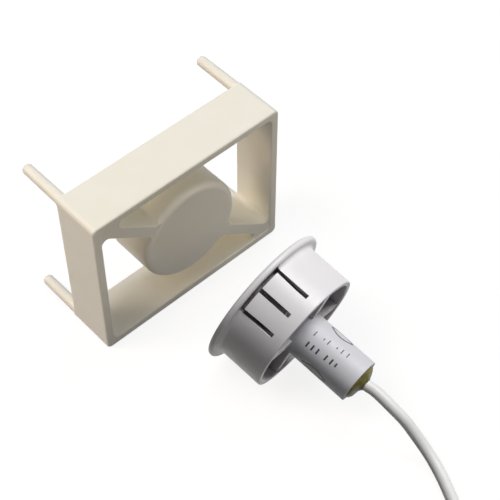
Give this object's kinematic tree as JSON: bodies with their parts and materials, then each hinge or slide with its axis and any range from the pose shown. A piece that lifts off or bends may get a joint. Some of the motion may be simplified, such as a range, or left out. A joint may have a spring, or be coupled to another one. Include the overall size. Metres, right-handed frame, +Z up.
{
  "type": "recessed magnetic contact",
  "caption": "Recessed magnetic contact: a disc magnet in a rectangular snap-in frame with rear pegs, and a potted reed switch tube in a round flanged snap-in adapter with a round lead.",
  "frame": {"origin": "middle of the magnet frame's foot, the outer face of its lower wall", "axes": "+X along the magnet frame's width, +Y to the frame's back, where its pegs are, and +Z up; the switch half lies at -Y"},
  "size_m": [0.0608, 0.1196, 0.0376],
  "materials": {
    "ivory_moulding": "satin ivory moulded plastic",
    "white_moulding": "satin cool white moulded plastic",
    "nickel_plate": "nickel plate",
    "olive_resin": "cast resin with a glossy skin",
    "reed_glass": "clear greenish glass",
    "tinned_copper": "tinned wire",
    "solder": "dull solder",
    "white_jacket": "soft extruded white jacket",
    "red_insulation": "extruded red insulation",
    "black_insulation": "extruded black insulation",
    "bare_copper": "bare stranded copper"
  },
  "bodies": {
    "root": {"magnet_frame": "ivory_moulding", "magnet": "nickel_plate", "magnet_cap": "ivory_moulding", "snap_in_adapter": "white_moulding", "switch_tube": "white_moulding", "epoxy_potting": "olive_resin", "reed_glass": "reed_glass", "reed_blade_front": "nickel_plate", "reed_blade_rear": "nickel_plate", "return_wire": "tinned_copper", "solder_joint_front": "solder", "solder_joint_return": "solder", "solder_joint_rear": "solder", "inner_core_a": "bare_copper", "inner_core_b": "bare_copper", "inner_conductor_a": "red_insulation", "inner_conductor_b": "black_insulation", "lead_jacket": "white_jacket", "lead_coil": "white_jacket", "lead_tail": "white_jacket", "tail_conductor_a": "red_insulation", "tail_conductor_b": "black_insulation", "tail_core_a": "bare_copper", "tail_core_b": "bare_copper"}
  },
  "joints": []
}
